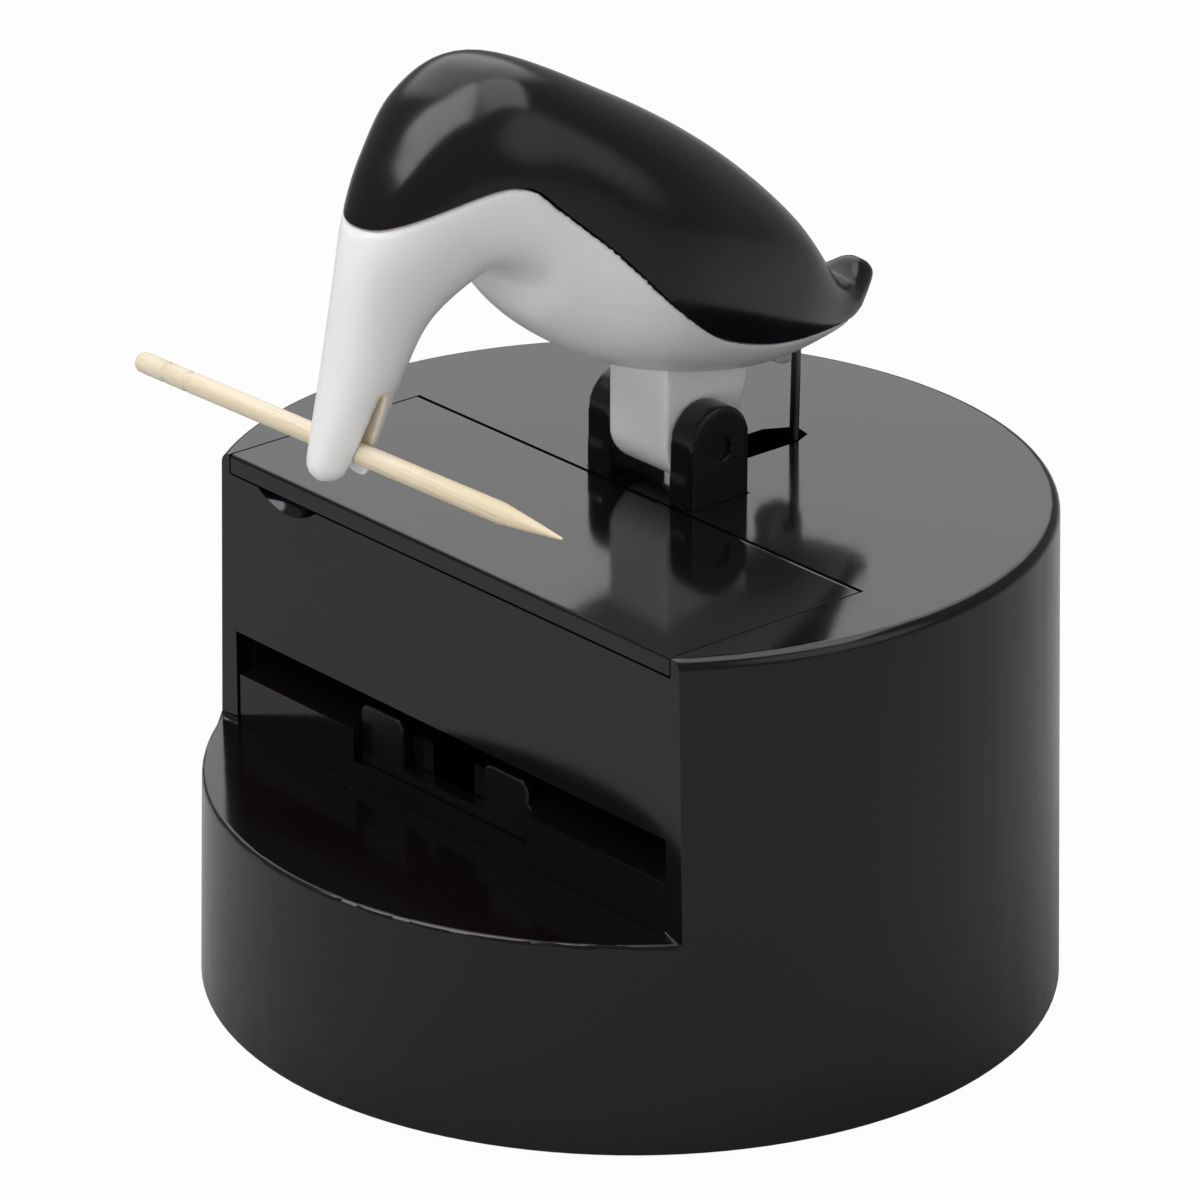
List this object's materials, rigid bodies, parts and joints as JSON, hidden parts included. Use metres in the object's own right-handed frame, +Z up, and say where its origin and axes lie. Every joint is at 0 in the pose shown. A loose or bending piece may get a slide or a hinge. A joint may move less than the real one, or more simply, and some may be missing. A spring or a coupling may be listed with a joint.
{
  "type": "toothpick dispenser",
  "caption": "Round table dispenser with a window, a snap-in refill lid and a tipping bird whose slit beak picks up one toothpick; a wire and lever work the feed gate.",
  "frame": {"origin": "centre of the round footprint, on the table under the feet", "axes": "+Z up, the flat front and the window face -Y, +X to the right seen from behind the origin looking along +Y"},
  "size_m": [0.0884, 0.0884, 0.1033],
  "materials": {
    "black_gloss": "polished moulding",
    "black_matte": "fine spark-eroded texture",
    "white_gloss": "polished moulding, slightly translucent",
    "natural_acetal": "smooth",
    "steel": "drawn and plated",
    "dark_wire": "drawn wire, oil-dark",
    "rubber": "matt",
    "birch": "sanded, bare"
  },
  "bodies": {
    "base": {"housing": "black_gloss", "magazine_tray": "black_gloss", "base_plate": "black_matte", "base_screws": "steel", "rubber_feet": "rubber", "pivot_bracket": "black_gloss", "pivot_pin": "dark_wire", "lever_axle": "steel", "axle_clips": "steel", "gate_spring": "steel", "lever_bumper": "rubber", "refill_lid": "black_gloss"},
    "bird": {"back_shell": "black_gloss", "belly_shell": "white_gloss", "swing_frame": "white_gloss", "toothpick": "birch"},
    "rod": {"link_rod": "dark_wire", "rod_cap_upper": "dark_wire", "rod_cap_lower": "dark_wire"},
    "lever": {"lifter_lever": "natural_acetal"},
    "gate": {"gate_fork": "black_gloss"}
  },
  "joints": [
    {"name": "bird_tip", "type": "hinge", "parent": "base", "child": "bird", "pos_m": [0, 0.005, 0.0585], "axis": [1, 0, 0], "range_deg": [0, 51.5], "stiffness_Nm_per_rad": 0.0044, "springref_deg": -100.27},
    {"name": "rod_swing", "type": "hinge", "parent": "bird", "child": "rod", "pos_m": [0.0002, 0.022, 0.063], "axis": [1, 0, 0], "range_deg": [-41, 0]},
    {"name": "lever_rock", "type": "hinge", "parent": "base", "child": "lever", "pos_m": [-0.00215, -0.013, 0.017], "axis": [1, 0, 0], "range_deg": [0, 21]},
    {"name": "gate_drop", "type": "slide", "parent": "base", "child": "gate", "axis": [0, 0, 1], "range_m": [-0.0035, 0], "deforming": ["gate_spring"]}
  ],
  "couplings": [
    {"joint": "rod_swing", "follows": "bird_tip", "ratio": -0.788},
    {"joint": "lever_rock", "follows": "bird_tip", "ratio": 0.4},
    {"joint": "gate_drop", "follows": "bird_tip", "m_per_rad": -0.003816}
  ]
}
